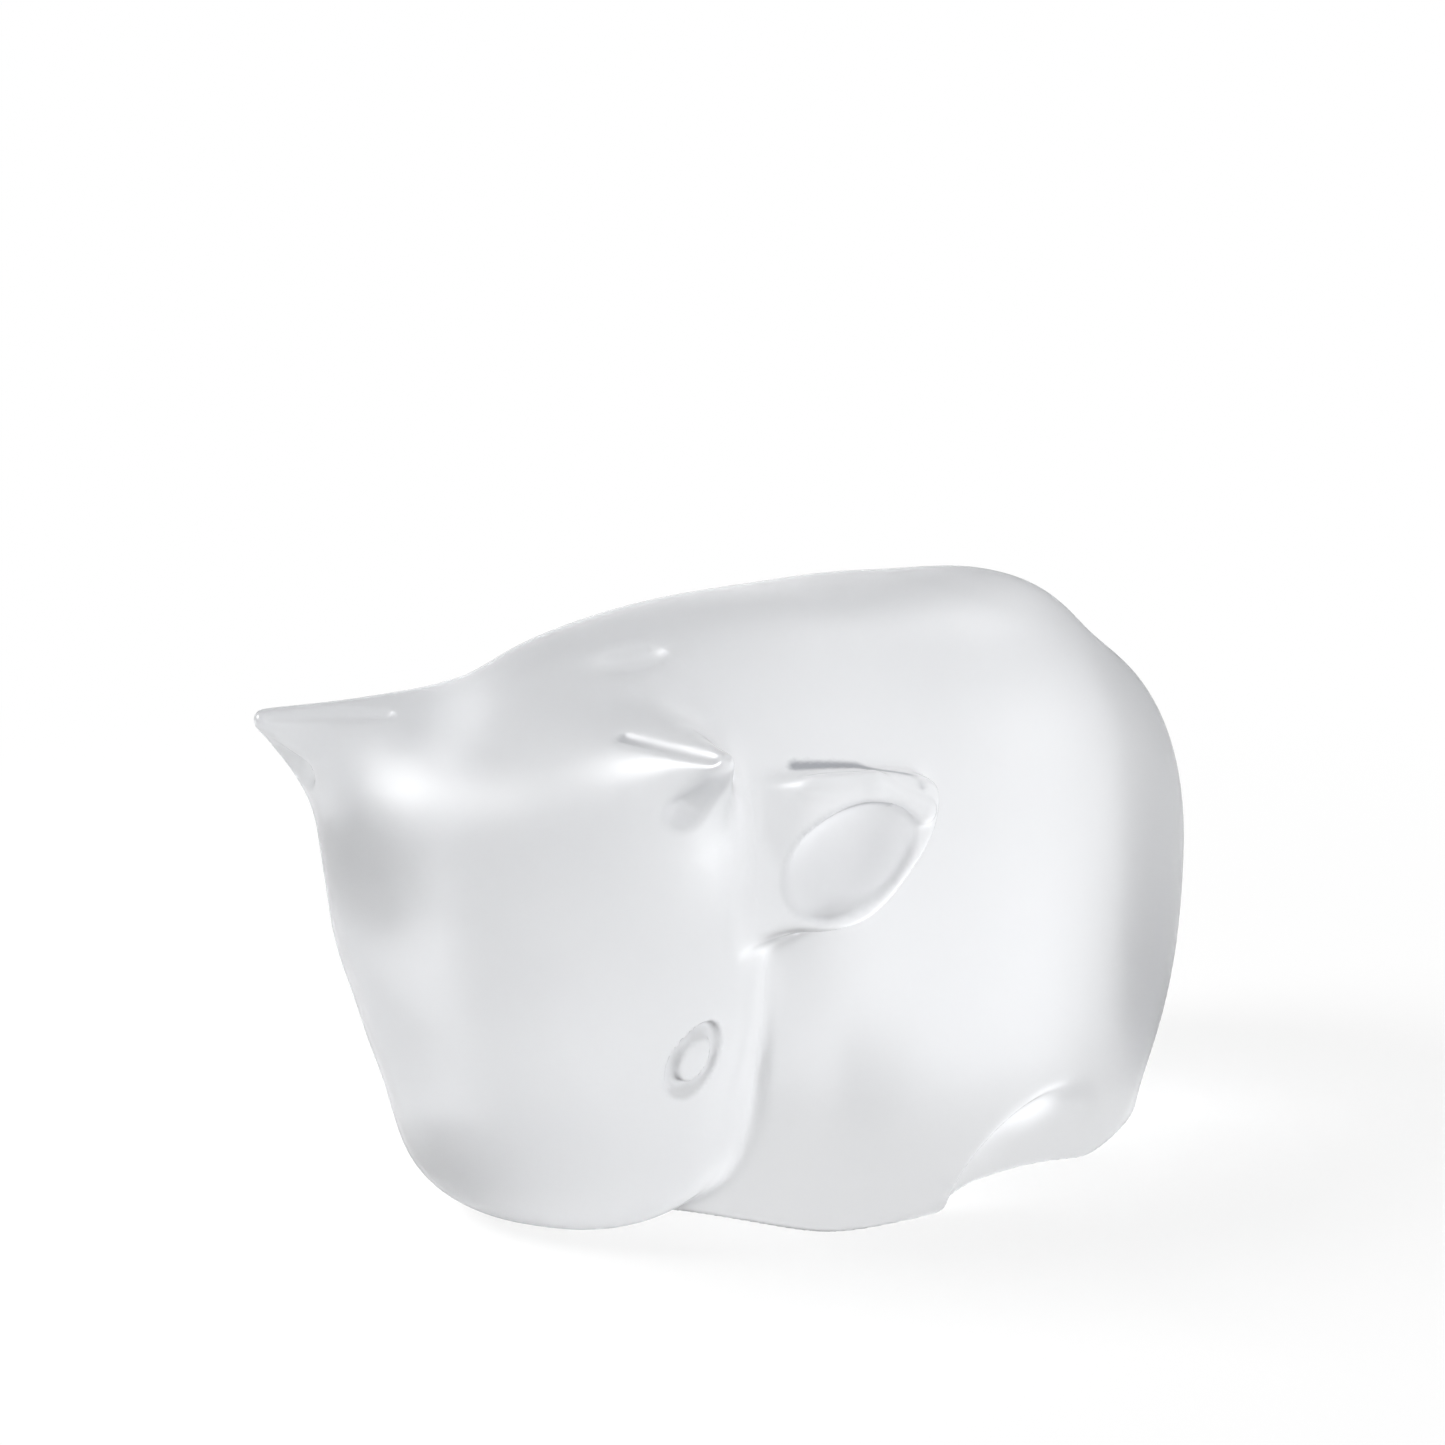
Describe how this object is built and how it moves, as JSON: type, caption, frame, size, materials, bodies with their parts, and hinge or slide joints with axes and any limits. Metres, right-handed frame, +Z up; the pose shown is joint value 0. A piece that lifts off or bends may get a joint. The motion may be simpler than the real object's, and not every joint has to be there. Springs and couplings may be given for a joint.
{
  "type": "crystal bull figurine",
  "caption": "Compact solid crystal bull at rest, satin surface, head bowed and turned to one flank, short pointed horns and leaf-shaped ears, standing on one flat ground face.",
  "frame": {"origin": "on the flat ground face, below the middle of the figure's overall box", "axes": "+Z up; the bull's body faces -X, and -Y is the flank its head is turned towards"},
  "size_m": [0.1518, 0.0846, 0.0912],
  "materials": {
    "satin_crystal": "satin, acid-etched",
    "polished_crystal": "satin with polished tips"
  },
  "bodies": {
    "root": {"torso": "satin_crystal", "head": "satin_crystal", "horn_left": "polished_crystal", "horn_right": "polished_crystal", "ear_left": "satin_crystal", "ear_right": "satin_crystal"}
  },
  "joints": []
}
